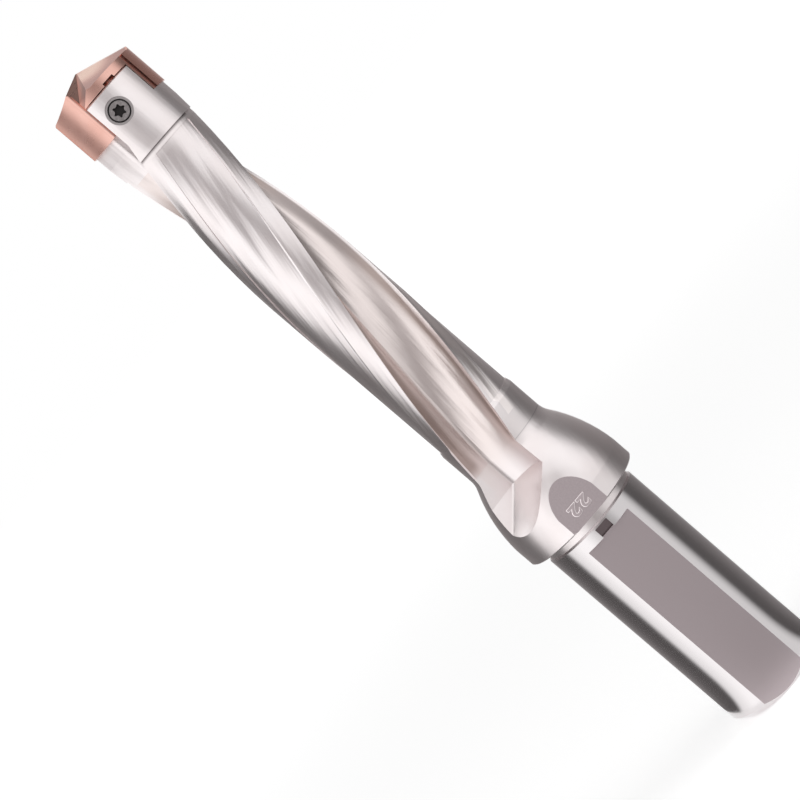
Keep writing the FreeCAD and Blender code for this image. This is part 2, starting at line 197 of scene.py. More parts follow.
# Tints of the holder
CLOUDED = (0.96, 0.945, 0.94)
IN_FLUTE_SHADE = (0.93, 0.89, 0.865)
UNDER_EDGE_SHADE = (0.50, 0.44, 0.41)
HEEL_EDGE_HIGHLIGHT = (1.15, 1.14, 1.12)
HEEL_BAND_SHADE = (0.40, 0.375, 0.37)
LEADING_EDGE_HIGHLIGHT = (1.06, 1.06, 1.06)
HEEL_STEP_SHADE = (0.60, 0.56, 0.55)
GRAINED_FLAT = (1.10, 1.10, 1.10)
SHANK_FLAT = (0.94, 0.94, 0.94)
NOTCH_SHADE = (0.52, 0.50, 0.50)
SEAT_SHADE = (0.62, 0.62, 0.62)
SEAT_GAP_SHADOW = (0.10, 0.10, 0.10)
NECK_STEP_SHADE = (0.35, 0.35, 0.35)
GROOVE_SHADE = (0.20, 0.18, 0.18)
MARK_EDGE_HIGHLIGHT = (1.15, 1.15, 1.15)
MARK_TOP_HIGHLIGHT = (1.1, 1.1, 1.1)
MARK_TOP_GRAIN_HIGHLIGHT = (1.2, 1.2, 1.2)

# Tints of the crown and the screw
COATING_CLOUDED = (0.94, 0.91, 0.90)
COATING_ENDS_SHADE = (0.60, 0.58, 0.60)
COATING_POINT_HIGHLIGHT = (1.12, 1.32, 1.30)
COATING_WING_SHADE = (0.97, 0.87, 0.84)
COATING_CORNER_SHADE = (0.66, 0.80, 0.86)
SCREW_WORN = (1.35, 1.35, 1.35)
SCREW_DRIVE_SHADE = (0.14, 0.14, 0.14)
SCREW_RIM_SHADE = (0.5, 0.5, 0.5)

# The size mark: depths and spacing are for letters one unit high, before they are scaled
LETTER_DEPTH = 0.04
LETTER_BEVEL = 0.055
LETTER_SPACING = 1.2
LETTER_CURVE_STEPS = 6
MARK_STATION = FLANGE_REAR - 3.4

# Tones around the drill, by the angle from the camera's side towards +X
TENT_PANELS = (
    (-180, 0.98), (-172, 0.45), (-164, 0.32), (-150, 0.22), (-128, 0.14), (-106, 0.10), (-96, 0.10),
    (-87, 1.00), (-76, 1.10), (-62, 1.26), (-44, 1.28), (-30, 0.98), (-15, 0.40), (8, 0.37), (20, 0.82),
    (34, 1.14), (70, 1.16), (78, 0.85), (88, 0.13), (106, 0.17), (124, 0.25), (148, 0.34), (160, 0.45),
    (168, 0.95), (180, 0.98),
)
DARK_PANEL = 0.5
DARK_PANEL_ROSY = 0.94
CANOPY_TONE = 1.18
CANOPY_BACK_TONE = 0.88
CANOPY_BACK_X = (-0.05, 0.2)
CANOPY_BACK_Y = (0.0, 0.2)
OVERHEAD_TONE = 0.12

# Shape of the tent and its panels
TENT_RADIUS = 0.8
TENT_HEIGHT = 0.8
TENT_SIDES = 90
CANOPY_RADIUS = 0.45
CANOPY_HEIGHT = 1.25
SKIRT_RADIUS = 20 * MM
SKIRT_LEVEL = 0.4 * MM
PANEL_TOPS_FRONT = (0.36, 0.46)
PANEL_TOPS_SIDE = (0.50, 0.80)
PANEL_SIDE = radians(50, 75)
PANEL_ASIDE = 12.0 * MM
PANEL_NEAREST = 0.05
PANEL_LIFT = radians(-12, 30)
PANEL_LEAN = 0.5
LEANING_PANEL = radians(-60, -15, 20, 60)
LOW_RIGHT_LIFT = radians(-12, -2)
LOW_RIGHT_ANGLE = radians(0, 25)
LOW_RIGHT_PEAK = 0.30

# Floor, lamps, world and camera
FLOOR_HALF = 20.0
FLOOR_GLOW_REACH = (0.12, 0.9)
FLOOR_GLOW = (0.46, 0.72)
WORLD_FILL = 0.36
SIDE_BOX_SIZE = (0.40, 0.90)
SIDE_BOX_ANGLE = 62
SIDE_BOX_DISTANCE = 0.6
SIDE_BOX_HEIGHT = 0.45
RIGHT_BOX_SHARE = 0.8
TOP_BOX_SIZE = (0.40, 0.40)
TOP_BOX_PLACE = (0, -0.3, 0.9)
PICTURE_WIDTH = 800
FOCAL_LENGTH = 2414
CAMERA_NEAREST = 0.01


class DrillStudioSettings(bpy.types.PropertyGroup):
    camera_distance: FloatProperty(
        name="Camera distance", description="How far the camera stands in front of the drill's axis",
        default=0.49997, min=0.2, unit="LENGTH", subtype="DISTANCE")
    camera_height: FloatProperty(
        name="Camera height", description="Height of the camera above the shank's end",
        default=0.1489, unit="LENGTH", subtype="DISTANCE")
    aim_height: FloatProperty(
        name="Aim height", description="Height of the point on the drill that the camera aims at",
        default=0.09992, unit="LENGTH", subtype="DISTANCE")
    aim_side: FloatProperty(
        name="Aim side", description="How far beside the drill's axis the camera stands and aims",
        default=-0.00742, unit="LENGTH", subtype="DISTANCE")
    camera_roll: FloatProperty(
        name="Camera roll", description="Turn of the picture about the line of sight",
        default=math.radians(49.4), unit="ROTATION", subtype="ANGLE")
    field_of_view: FloatProperty(
        name="Field of view", description="Angle that the square picture takes in",
        default=2 * math.atan(PICTURE_WIDTH / 2 / FOCAL_LENGTH), unit="ROTATION", subtype="ANGLE")
    softbox_power: FloatProperty(
        name="Side softbox power",
        description="Power of the left softbox; the right one has four fifths of it",
        default=1.5, min=0, unit="POWER")
    top_power: FloatProperty(
        name="Top softbox power", description="Power of the softbox above the drill",
        default=0.5, min=0, unit="POWER")
    floor_colour: FloatVectorProperty(
        name="Floor", description="Colour of the floor", default=(0.90, 0.90, 0.90), size=3, min=0, max=1,
        subtype="COLOR")


class DrillFinishSettings(bpy.types.PropertyGroup):
    nickel: FloatVectorProperty(
        name="Nickel plate", description="Colour of the satin nickel plate on the flutes and the flange",
        default=(0.86, 0.805, 0.805), size=3, min=0, max=1, subtype="COLOR")
    nickel_roughness: FloatProperty(
        name="Nickel roughness", description="Roughness of the satin nickel plate",
        default=0.34, min=0, max=1, subtype="FACTOR")
    ground_steel: FloatVectorProperty(
        name="Ground steel", description="Colour of the ground shank", default=(0.76, 0.725, 0.73), size=3,
        min=0, max=1, subtype="COLOR")
    ground_roughness: FloatProperty(
        name="Ground roughness", description="Roughness of the ground shank",
        default=0.17, min=0, max=1, subtype="FACTOR")
    milled_flat: FloatVectorProperty(
        name="Flats", description="Colour of the matte flats", default=(0.56, 0.49, 0.505), size=3,
        min=0, max=1, subtype="COLOR")
    flat_roughness: FloatProperty(
        name="Flat roughness", description="Roughness of the matte flats",
        default=0.5, min=0, max=1, subtype="FACTOR")
    coating: FloatVectorProperty(
        name="Crown coating", description="Colour of the crown's copper-bronze coating",
        default=(0.79, 0.48, 0.41), size=3, min=0, max=1, subtype="COLOR")
    coating_roughness: FloatProperty(
        name="Coating roughness", description="Roughness of the crown's coating",
        default=0.29, min=0, max=1, subtype="FACTOR")
    screw_steel: FloatVectorProperty(
        name="Screw steel", description="Colour of the blackened clamp screw", default=(0.35, 0.325, 0.325),
        size=3, min=0, max=1, subtype="COLOR")
    screw_roughness: FloatProperty(
        name="Screw roughness", description="Roughness of the blackened clamp screw",
        default=0.355, min=0, max=1, subtype="FACTOR")
    mark: StringProperty(
        name="Size mark", description="Plain number on the flange's flat: the size in millimetres",
        default="22")
    mark_height: FloatProperty(
        name="Mark height", description="Height of the mark's digits", default=2.9 * MM, min=0,
        unit="LENGTH", subtype="DISTANCE")
    mark_length: FloatProperty(
        name="Mark length", description="Length of the whole mark", default=5.2 * MM, min=0,
        unit="LENGTH", subtype="DISTANCE")
    mark_relief: FloatProperty(
        name="Mark relief", description="How far the digits stand out of the flat", default=0.2 * MM, min=0,
        unit="LENGTH", subtype="DISTANCE")
    mark_edge_roughness: FloatProperty(
        name="Mark edge roughness", description="Roughness of the digits' bright edges",
        default=0.3, min=0, max=1, subtype="FACTOR")


class Shader:
    """Builds one node material: every method adds nodes and returns an output."""

    def __init__(self, name):
        self.material = bpy.data.materials.new(name)
        self.material.use_nodes = True
        self.tree = self.material.node_tree
        self.tree.nodes.clear()

    def node(self, kind, **settings):
        made = self.tree.nodes.new(kind)
        for key, value in settings.items():
            setattr(made, key, value)
        return made

    def feed(self, socket, value):
        if isinstance(value, bpy.types.NodeSocket):
            self.tree.links.new(value, socket)
        elif hasattr(value, "__len__") and len(value) == 3 and socket.type == "RGBA":
            socket.default_value = (*value, 1)
        else:
            socket.default_value = value

    def position(self):
        return self.node("ShaderNodeNewGeometry").outputs["Position"]

    def normal(self):
        return self.node("ShaderNodeNewGeometry").outputs["Normal"]

    def axes(self, vector):
        parts = self.node("ShaderNodeSeparateXYZ")
        self.feed(parts.inputs[0], vector)
        return parts.outputs

    def vector(self, x, y, z):
        made = self.node("ShaderNodeCombineXYZ")
        for socket, value in zip(made.inputs, (x, y, z)):
            self.feed(socket, value)
        return made.outputs[0]

    def math(self, operation, a, b=0.0, c=0.0):
        made = self.node("ShaderNodeMath", operation=operation)
        for socket, value in zip(made.inputs, (a, b, c)):
            self.feed(socket, value)
        return made.outputs[0]

    def product(self, *factors):
        total = factors[0]
        for factor in factors[1:]:
            total = self.math("MULTIPLY", total, factor)
        return total

    def above(self, value, limit):
        """One where a value is above a limit, and nothing elsewhere."""
        return self.math("GREATER_THAN", value, limit)

    def below(self, value, limit):
        """One where a value is below a limit, and nothing elsewhere."""
        return self.math("LESS_THAN", value, limit)

    def near(self, value, middle, reach):
        """One where a value lies within a reach of a middle, and nothing elsewhere."""
        return self.math("COMPARE", value, middle, reach)

    def distance(self, a, b):
        """Length of the hypotenuse over two sides."""
        return self.math("SQRT", self.math("ADD", self.math("MULTIPLY", a, a), self.math("MULTIPLY", b, b)))

    def ramp(self, value, low, high, out_low=0.0, out_high=1.0):
        made = self.node("ShaderNodeMapRange", interpolation_type="SMOOTHSTEP")
        for key, given in (("Value", value), ("From Min", low), ("From Max", high),
                           ("To Min", out_low), ("To Max", out_high)):
            self.feed(made.inputs[key], given)
        return made.outputs[0]

    def fade(self, value, full, end, peak=1.0):
        """Peak where a value is short of one limit, and nothing past the other."""
        return self.ramp(value, full, end, peak, 0.0)

    def band(self, value, start, full, fading, end, peak=1.0):
        """Rises from nothing between two values, and falls from the peak between two more."""
        return self.product(self.ramp(value, start, full), self.fade(value, fading, end, peak))

    def stretch(self, z, start, full, least=0.0):
        """The least at one station and past it, and one at the other station."""
        return self.ramp(z, height(start), height(full), least)

    def spread(self, pattern, mean, amount):
        """Mean, spread by a pattern that lies between nought and one."""
        return self.math("MULTIPLY_ADD", pattern, amount, mean - amount / 2)

    def noise(self, vector, scale, detail, roughness):
        """Noise with one scale, or with one for each axis."""
        if isinstance(scale, tuple):
            scaled = self.node("ShaderNodeMapping")
            self.feed(scaled.inputs["Vector"], vector)
            scaled.inputs["Scale"].default_value = scale
            vector = scaled.outputs[0]
            scale = 1.0
        made = self.node("ShaderNodeTexNoise")
        self.feed(made.inputs["Vector"], vector)
        made.inputs["Scale"].default_value = scale
        made.inputs["Detail"].default_value = detail
        made.inputs["Roughness"].default_value = roughness
        return made.outputs["Fac"]

    def blend(self, factor, a, b):
        made = self.node("ShaderNodeMix", data_type="RGBA")
        for socket, value in zip((made.inputs[0], made.inputs[6], made.inputs[7]), (factor, a, b)):
            self.feed(socket, value)
        return made.outputs[2]

    def tint(self, colour, base, layers):
        """Colour with layers laid over it, each a mask and a tint of the base."""
        for mask, factors in layers:
            colour = self.blend(mask, colour, tinted(base, factors))
        return colour

    def between(self, factor, a, b):
        made = self.node("ShaderNodeMix", data_type="FLOAT")
        for socket, value in zip((made.inputs[0], made.inputs[2], made.inputs[3]), (factor, a, b)):
            self.feed(socket, value)
        return made.outputs[0]

    def bump(self, height_value, distance, under=None):
        made = self.node("ShaderNodeBump")
        made.inputs["Distance"].default_value = distance
        self.feed(made.inputs["Height"], height_value)
        if under is not None:
            self.feed(made.inputs["Normal"], under)
        return made.outputs[0]

    def metal(self, colour, roughness, normal=None):
        made = self.node("ShaderNodeBsdfPrincipled")
        self.feed(made.inputs["Base Color"], colour)
        self.feed(made.inputs["Roughness"], roughness)
        made.inputs["Metallic"].default_value = 1.0
        if normal is not None:
            self.feed(made.inputs["Normal"], normal)
        return made.outputs[0]

    def finish(self, surface):
        output = self.node("ShaderNodeOutputMaterial")
        self.feed(output.inputs["Surface"], surface)
        return self.material


def tinted(colour, factors):
    """Colour with each channel multiplied by its factor."""
    return [c * f for c, f in zip(colour, factors)]


def turned_back(shader, x, y, turn):
    """X and Y turned back about the axis by an angle."""
    cosine = shader.math("COSINE", turn)
    sine = shader.math("SINE", turn)
    return (shader.math("ADD", shader.product(x, cosine), shader.product(y, sine)),
            shader.math("SUBTRACT", shader.product(y, cosine), shader.product(x, sine)))


def along_flutes(shader, x, y, z):
    """X and Y turned back by the flutes' lead, so that a flute runs straight along Z."""
    helical = shader.math("MINIMUM", z, height(FLUTES_STRAIGHT))
    return turned_back(shader, x, y, shader.math("MULTIPLY", helical, math.tau / FLUTE_LEAD))


def flute_wall_angle(shader, straight_x, straight_y):
    """Angle about the hollow floor's centre: nought on the floor, plus at the rake, minus at the heel."""
    across, along = turned_back(shader, straight_x, straight_y, FLUTE_AXIS_ANGLE)
    side = shader.math("SIGN", across)
    return shader.math("ARCTAN2", shader.product(along, side, -1.0),
                       shader.math("SUBTRACT", FLUTE_FLOOR_CENTRE, shader.product(across, side)))


def half_turns_from(shader, x, y, edge):
    """Angle about the axis from the nearer of two edges that lie half a turn apart."""
    angle = shader.math("SUBTRACT", shader.math("ARCTAN2", y, x), edge)
    return shader.math("WRAP", angle, math.pi / 2, -math.pi / 2)


def holder_places(shader):
    """Coordinates and areas of the holder that its finishes share."""
    at = SimpleNamespace()
    at.position = shader.position()
    at.x, at.y, at.z = shader.axes(at.position)
    at.radius = shader.distance(at.x, at.y)
    straight_x, straight_y = along_flutes(shader, at.x, at.y, at.z)
    at.flutes = shader.vector(straight_x, straight_y, at.z)
    at.wall = flute_wall_angle(shader, straight_x, straight_y)

    # Distances round the body from the edges of the guide margins, on both lands
    at.leading_step, at.heel_step = (
        shader.math("MULTIPLY", half_turns_from(shader, straight_x, straight_y, edge), BODY_RADIUS)
        for edge in (LEADING_MARGIN_EDGE, HEEL_MARGIN_EDGE))
    at.on_land = shader.product(
        shader.above(at.radius, BODY_RADIUS - LAND_DEPTH), shader.above(at.z, height(LAND_END)),
        shader.below(at.z, height(JAW_REAR + JAW_GROOVE)))
    at.worn_stretch = shader.stretch(at.z, *LEADING_EDGE_FRONT)

    at.shank = shader.below(at.z, height(SHANK_FRONT))
    facing = shader.above(shader.math("MULTIPLY", shader.axes(shader.normal())[1], -1.0), FACES_FRONT)
    at.on_shank_flat = shader.near(at.y, -SHANK_FLAT_LEVEL, TOLERANCE)
    on_size_flat = shader.near(at.y, -SIZE_FLAT_LEVEL, TOLERANCE)
    at.flats = shader.product(facing, shader.math("MAXIMUM", at.on_shank_flat, on_size_flat))
    return at


def nickel_plate(shader, at, finish, cloud, broad_marks):
    """Colour of the satin nickel plate, with painted shade in the flutes and along the heel margins' steps,
    and painted highlights beside the heel's edge and along the leading margins' edges.
    """
    # Painted shade: the plate is painted darker and warmer deep in the flutes
    in_flute_shade = shader.product(
        shader.fade(at.radius, *IN_FLUTE_RADII), shader.below(at.z, height(IN_FLUTE_FRONT_END)),
        shader.stretch(at.z, *IN_FLUTE_REAR))

    # Painted shade darkens a flute's walls under its two edges, and leaves the heel's edge without it further
    # back
    behind_front = shader.stretch(at.z, *UNSHADED_STRIP_FRONT)
    shade_start_wall = shader.math("SUBTRACT", at.wall, shader.math("MULTIPLY", behind_front, UNSHADED_STRIP))
    under_heel = shader.product(
        shader.ramp(shade_start_wall, *UNDER_HEEL[:2]), shader.fade(at.wall, *UNDER_HEEL[2:]))
    under_edge = shader.below(at.radius, BODY_RADIUS - UNDER_EDGE)
    under_edge_shade = shader.product(
        shader.math("MAXIMUM", under_heel, shader.ramp(at.wall, *UNDER_RAKE)), under_edge,
        shader.stretch(at.z, *UNDER_EDGE_SHADE_REAR), shader.stretch(at.z, *UNDER_EDGE_SHADE_FRONT),
        shader.spread(broad_marks, 1.0, UNDER_EDGE_SHADE_SPREAD))
    # Painted highlight: a narrow pale band on the wall beside the heel's edge
    painted_highlight = shader.product(
        shader.band(at.wall, *HEEL_EDGE_HIGHLIGHT_BAND), behind_front, shader.above(at.z, height(HEEL_EDGE_HIGHLIGHT_END)))
    # Painted shade: a dark band on the wall just inside the heel's edge
    heel_band_shade = shader.product(
        shader.band(at.wall, *HEEL_BAND_SHADE_ANGLES, HEEL_BAND_SHADE_PEAK), under_edge,
        shader.stretch(at.z, *HEEL_BAND_SHADE_FRONT), shader.stretch(at.z, *HEEL_BAND_SHADE_REAR))

    # A painted highlight lightens the edge of each leading margin, and a line of painted shade lies against
    # the step of each heel margin
    worn = shader.product(
        shader.fade(shader.math("ABSOLUTE", at.leading_step), *LEADING_EDGE_HIGHLIGHT_WIDTHS), at.on_land, at.worn_stretch)
    heel_step_shade = shader.product(
        shader.fade(shader.math("ABSOLUTE", at.heel_step), *HEEL_STEP_SHADE_WIDTHS, HEEL_STEP_SHADE_PEAK),
        shader.stretch(at.z, *HEEL_STEP_SHADE_FRONT), at.on_land)
    plate = shader.blend(
        shader.ramp(cloud, *PLATE_CLOUD_CROSSING), finish.nickel[:], tinted(finish.nickel, CLOUDED))
    return shader.tint(plate, finish.nickel, (
        (in_flute_shade, IN_FLUTE_SHADE), (under_edge_shade, UNDER_EDGE_SHADE), (painted_highlight, HEEL_EDGE_HIGHLIGHT), (heel_band_shade, HEEL_BAND_SHADE), (worn, LEADING_EDGE_HIGHLIGHT),
        (heel_step_shade, HEEL_STEP_SHADE)))


def holder_details(shader, at, finish, colour):
    """Colour with painted shade in the notch, the screw's seat, the turned line and the groove behind the
    jaws, and a painted shadow in the seat's gap, laid over it.
    """
    # Painted shade: the notch is painted darker than the flat about it
    notch_shade = shader.product(
        shader.near(at.x, 0, NOTCH_WIDTH / 2 + TOLERANCE),
        shader.near(at.z, height(FLAT_FRONT - NOTCH_LENGTH / 2), NOTCH_LENGTH / 2 * MM + NOTCH_REAR_FIT),
        shader.near(at.radius, NOTCH_RADIUS, NOTCH_REACH), shader.below(at.y, -NOTCH_FLOOR))
    # Painted shade darkens the screw's seat, and a painted shadow blackens the gap about the screw's head
    from_screw = shader.distance(at.x, shader.math("SUBTRACT", at.z, height(SCREW_STATION)))
    seat_shade = shader.product(shader.below(from_screw, SEAT_RADIUS), shader.above(at.y, -SEAT_TOP))
    seat_gap_shadow = shader.product(seat_shade, shader.below(from_screw, SEAT_GAP_RADIUS))

    # A fine line of painted shade crosses the neck at its turned line, and stays out of the flutes
    from_line = shader.math("ABSOLUTE", shader.math("SUBTRACT", at.z, height(NECK_LINE)))
    line = shader.product(
        shader.fade(from_line, *NECK_LINE_WIDTHS), shader.above(at.radius, NECK_RADIUS - NECK_LINE_DEPTH),
        NECK_LINE_PEAK)

    # Painted shade darkens the corner of the groove behind the jaws
    behind_jaws = shader.math("SUBTRACT", height(JAW_REAR), at.z)
    groove_shade = shader.product(
        shader.fade(behind_jaws, *GROOVE_SHADE_WIDTHS, GROOVE_SHADE_PEAK),
        shader.ramp(behind_jaws, *GROOVE_SHADE_START), shader.ramp(at.radius, *GROOVE_SHADE_RADII),
        shader.below(at.leading_step, GROOVE_SHADE_SIDE))

    colour = shader.blend(notch_shade, colour, tinted(finish.milled_flat, NOTCH_SHADE))
    return shader.tint(colour, finish.nickel, (
        (seat_shade, SEAT_SHADE), (seat_gap_shadow, SEAT_GAP_SHADOW), (line, NECK_STEP_SHADE), (groove_shade, GROOVE_SHADE)))


def holder_steel(finish):
    """Satin nickel in front of the shank, a ground shank, matte flats and painted shade in the screw's seat.
    """
    shader = Shader("holder_steel_finish")
    at = holder_places(shader)

    # Polishing marks run along the flutes, in three sizes, and grinding marks run round the shank
    cloud = shader.noise(at.position, *PLATE_CLOUD)
    fine_marks = shader.noise(at.flutes, *FINE_MARKS)
    broad_marks = shader.noise(at.flutes, *BROAD_MARKS)
    swells = shader.noise(at.flutes, *SWELLS)
    grinding = shader.noise(at.position, *SHANK_GRINDING)
    grain = shader.noise(at.position, *FLAT_GRAIN)

    plate = nickel_plate(shader, at, finish, cloud, broad_marks)
    colour = shader.blend(at.shank, plate, finish.ground_steel[:])
    matte = shader.blend(
        shader.ramp(grain, *GRAIN_CROSSING), finish.milled_flat[:], tinted(finish.milled_flat, GRAINED_FLAT))
    matte = shader.blend(at.on_shank_flat, matte, tinted(finish.milled_flat, SHANK_FLAT))
    colour = shader.blend(at.flats, colour, matte)
    colour = holder_details(shader, at, finish, colour)

    roughness = shader.between(
        at.shank, shader.spread(fine_marks, finish.nickel_roughness, ROUGHNESS_SPREAD),
        shader.spread(grinding, finish.ground_roughness, ROUGHNESS_SPREAD))
    roughness = shader.between(at.flats, roughness, finish.flat_roughness)

    marked = shader.product(
        shader.math("SUBTRACT", 1.0, shader.math("MAXIMUM", at.shank, at.flats)),
        shader.stretch(at.z, *MARKS_REAR), shader.stretch(at.z, *MARKS_FRONT))
    worn_edge = shader.product(shader.ramp(at.leading_step, *WORN_EDGE_STEP), at.on_land, at.worn_stretch)
    relief = None
    for pattern, depth in (
            (shader.product(fine_marks, marked), FINE_MARK_DEPTH),
            (shader.product(broad_marks, marked), BROAD_MARK_DEPTH),
            (shader.product(swells, marked), SWELL_DEPTH),
            (worn_edge, WORN_EDGE_DEPTH),
            (shader.product(grain, at.flats), FLAT_GRAIN_DEPTH)):
        relief = shader.bump(pattern, depth, relief)
    return shader.finish(shader.metal(colour, roughness, relief))


def crown_coating(finish):
    """Copper-bronze coating over ground carbide."""
    shader = Shader("crown_coating_finish")
    position = shader.position()
    x, y, z = shader.axes(position)
    radius = shader.distance(x, y)
    facing = shader.axes(shader.normal())[2]
    cloud = shader.noise(position, *CROWN_CLOUD)
    grinding = shader.noise(position, *CROWN_GRINDING)

    # Painted shade darkens the point's outer ends, and a painted highlight makes its middle pale
    ends = shader.product(shader.ramp(radius, *POINT_ENDS), shader.above(facing, FACES_POINT))
    painted_highlight = shader.product(shader.band(radius, *POINT_HIGHLIGHT_RADII), shader.above(facing, FACES_POINT_SQUARELY))
    # Painted shade: the wings are painted a deeper, darker copper
    wing_shade = shader.ramp(radius, *WING_RADII)

    # Painted shade darkens the corners beside the margins and deep in the crown too, and takes some red out
    # of them
    from_margin = half_turns_from(shader, x, y, MARGIN_BEARING)
    beside = shader.product(
        shader.near(from_margin, 0, MARGIN_CORNER_REACH), shader.below(radius, MARGIN_CORNER_RADIUS))
    deep = shader.product(shader.below(radius, DEEP_RADIUS), shader.below(z, height(DEEP_STATION)))
    corners = shader.product(shader.math("MAXIMUM", beside, deep), shader.below(z, height(CORNER_STATION)))

    colour = shader.blend(
        shader.ramp(cloud, *CROWN_CLOUD_CROSSING), finish.coating[:], tinted(finish.coating, COATING_CLOUDED))
    colour = shader.tint(colour, finish.coating, (
        (ends, COATING_ENDS_SHADE), (painted_highlight, COATING_POINT_HIGHLIGHT), (wing_shade, COATING_WING_SHADE), (corners, COATING_CORNER_SHADE)))
    roughness = shader.spread(grinding, finish.coating_roughness, COATING_ROUGHNESS_SPREAD)
    return shader.finish(shader.metal(colour, roughness, shader.bump(grinding, CROWN_GRINDING_DEPTH)))


def screw_blacking(finish):
    """Blackened steel of the clamp screw, with painted shade in its drive recess and on its head's rim, and
    its thread.
    """
    shader = Shader("screw_blacking_finish")
    position = shader.position()
    x, y, z = shader.axes(position)
    across = shader.math("SUBTRACT", z, height(SCREW_STATION))
    radius = shader.distance(x, across)
    wear = shader.noise(position, *SCREW_WEAR)
    # Painted shade: the drive recess is painted near black, and the head's rim darker
    drive_shade = shader.product(
        shader.below(radius, DRIVE_RADIUS), shader.above(y, TOLERANCE - SCREW_TOP),
        shader.below(y, DRIVE_DEPTH - SCREW_TOP))
    colour = shader.blend(
        shader.ramp(wear, *SCREW_WEAR_CROSSING), finish.screw_steel[:],
        tinted(finish.screw_steel, SCREW_WORN))
    colour = shader.tint(colour, finish.screw_steel, (
        (drive_shade, SCREW_DRIVE_SHADE), (shader.above(radius, SCREW_HEAD_FACE_RADIUS), SCREW_RIM_SHADE)))
    roughness = shader.spread(wear, finish.screw_roughness, SCREW_ROUGHNESS_SPREAD)

    # The thread is a triangular ridge that climbs by one pitch a turn
    turn = shader.math("DIVIDE", shader.math("ARCTAN2", across, x), math.tau)
    ridge = shader.math("PINGPONG", shader.math("MULTIPLY_ADD", y, 1 / SCREW_THREAD_PITCH, turn), 0.5)
    threaded = shader.product(
        shader.near(radius, SCREW_RADIUS, TOLERANCE), shader.above(y, -SCREW_THREAD_START))
    thread = shader.bump(shader.product(ridge, threaded), THREAD_DEPTH)
    return shader.finish(shader.metal(colour, roughness, thread))


def raised_mark(finish):
    """Matte tops of the raised digits, like the flat about them but painted a little lighter as a painted
    highlight, and edges painted bright as a painted highlight.
    """
    shader = Shader("raised_mark_finish")
    grain = shader.noise(shader.position(), *FLAT_GRAIN)
    tops = shader.below(shader.axes(shader.normal())[1], -MARK_TOPS)
    matte = shader.blend(
        shader.ramp(grain, *GRAIN_CROSSING), tinted(finish.milled_flat, MARK_TOP_HIGHLIGHT),
        tinted(finish.milled_flat, MARK_TOP_GRAIN_HIGHLIGHT))
    # Painted highlight: the edges are painted brighter than the nickel, and the tops lighter than the flat
    colour = shader.blend(tops, tinted(finish.nickel, MARK_EDGE_HIGHLIGHT), matte)
    roughness = shader.between(tops, finish.mark_edge_roughness, finish.flat_roughness)
    return shader.finish(shader.metal(colour, roughness))


def floor_finish(studio):
    """Pale floor that looks white to the camera and in reflections, and keeps the drill's shadow."""
    shader = Shader("floor_finish")
    x, y, _ = shader.axes(shader.position())
    diffuse = shader.node("ShaderNodeBsdfDiffuse")
    shader.feed(diffuse.inputs["Color"], studio.floor_colour[:])
    rays = shader.node("ShaderNodeLightPath")
    seen = shader.math("MAXIMUM", rays.outputs["Is Camera Ray"], rays.outputs["Is Glossy Ray"])
    seen = shader.math("MAXIMUM", seen, rays.outputs["Is Transmission Ray"])
    lift = shader.ramp(shader.distance(x, y), *FLOOR_GLOW_REACH, *FLOOR_GLOW)
    glow = shader.node("ShaderNodeEmission")
    shader.feed(glow.inputs["Strength"], shader.math("MULTIPLY", seen, lift))
    both = shader.node("ShaderNodeAddShader")
    shader.feed(both.inputs[0], diffuse.outputs[0])
    shader.feed(both.inputs[1], glow.outputs[0])
    return shader.finish(both.outputs[0])


def tent_panels(shader, angle, out, z):
    """Tones of the tent's upright panels."""
    # Near the drill a reflection starts beside the axis, so the panels' edges are turned to meet it
    aside = shader.math("DIVIDE", PANEL_ASIDE, shader.math("MAXIMUM", out, PANEL_NEAREST))
    angle = shader.math("MULTIPLY_ADD", shader.math("SINE", shader.product(angle, 0.5)), aside, angle)

    # The dark front panel leans towards +X, above the drill's middle and below it
    lift = shader.math("ARCTAN2", shader.math("SUBTRACT", z, OVERALL_LENGTH / 2), out)
    lift = shader.math("MINIMUM", shader.math("MAXIMUM", lift, PANEL_LIFT[0]), PANEL_LIFT[1])
    leaning = shader.band(angle, *LEANING_PANEL)
    leant = shader.math("SUBTRACT", angle, shader.product(shader.math("ABSOLUTE", lift), leaning, PANEL_LEAN))
    tones = shader.node("ShaderNodeValToRGB")
    shader.feed(tones.inputs[0], shader.math("MULTIPLY_ADD", leant, 1 / math.tau, 0.5))
    stops = tones.color_ramp.elements
    while len(stops) < len(TENT_PANELS):
        stops.new(0.5)
    for stop, (degrees, tone) in zip(stops, TENT_PANELS):
        stop.position = degrees / 360 + 0.5
        rosy = tone * DARK_PANEL_ROSY if tone < DARK_PANEL else tone
        stop.color = (tone, rosy, rosy, 1)
    low_right = shader.product(
        shader.fade(lift, *LOW_RIGHT_LIFT, LOW_RIGHT_PEAK), shader.ramp(angle, *LOW_RIGHT_ANGLE))
    return angle, shader.blend(low_right, tones.outputs[0], (0, 0, 0))


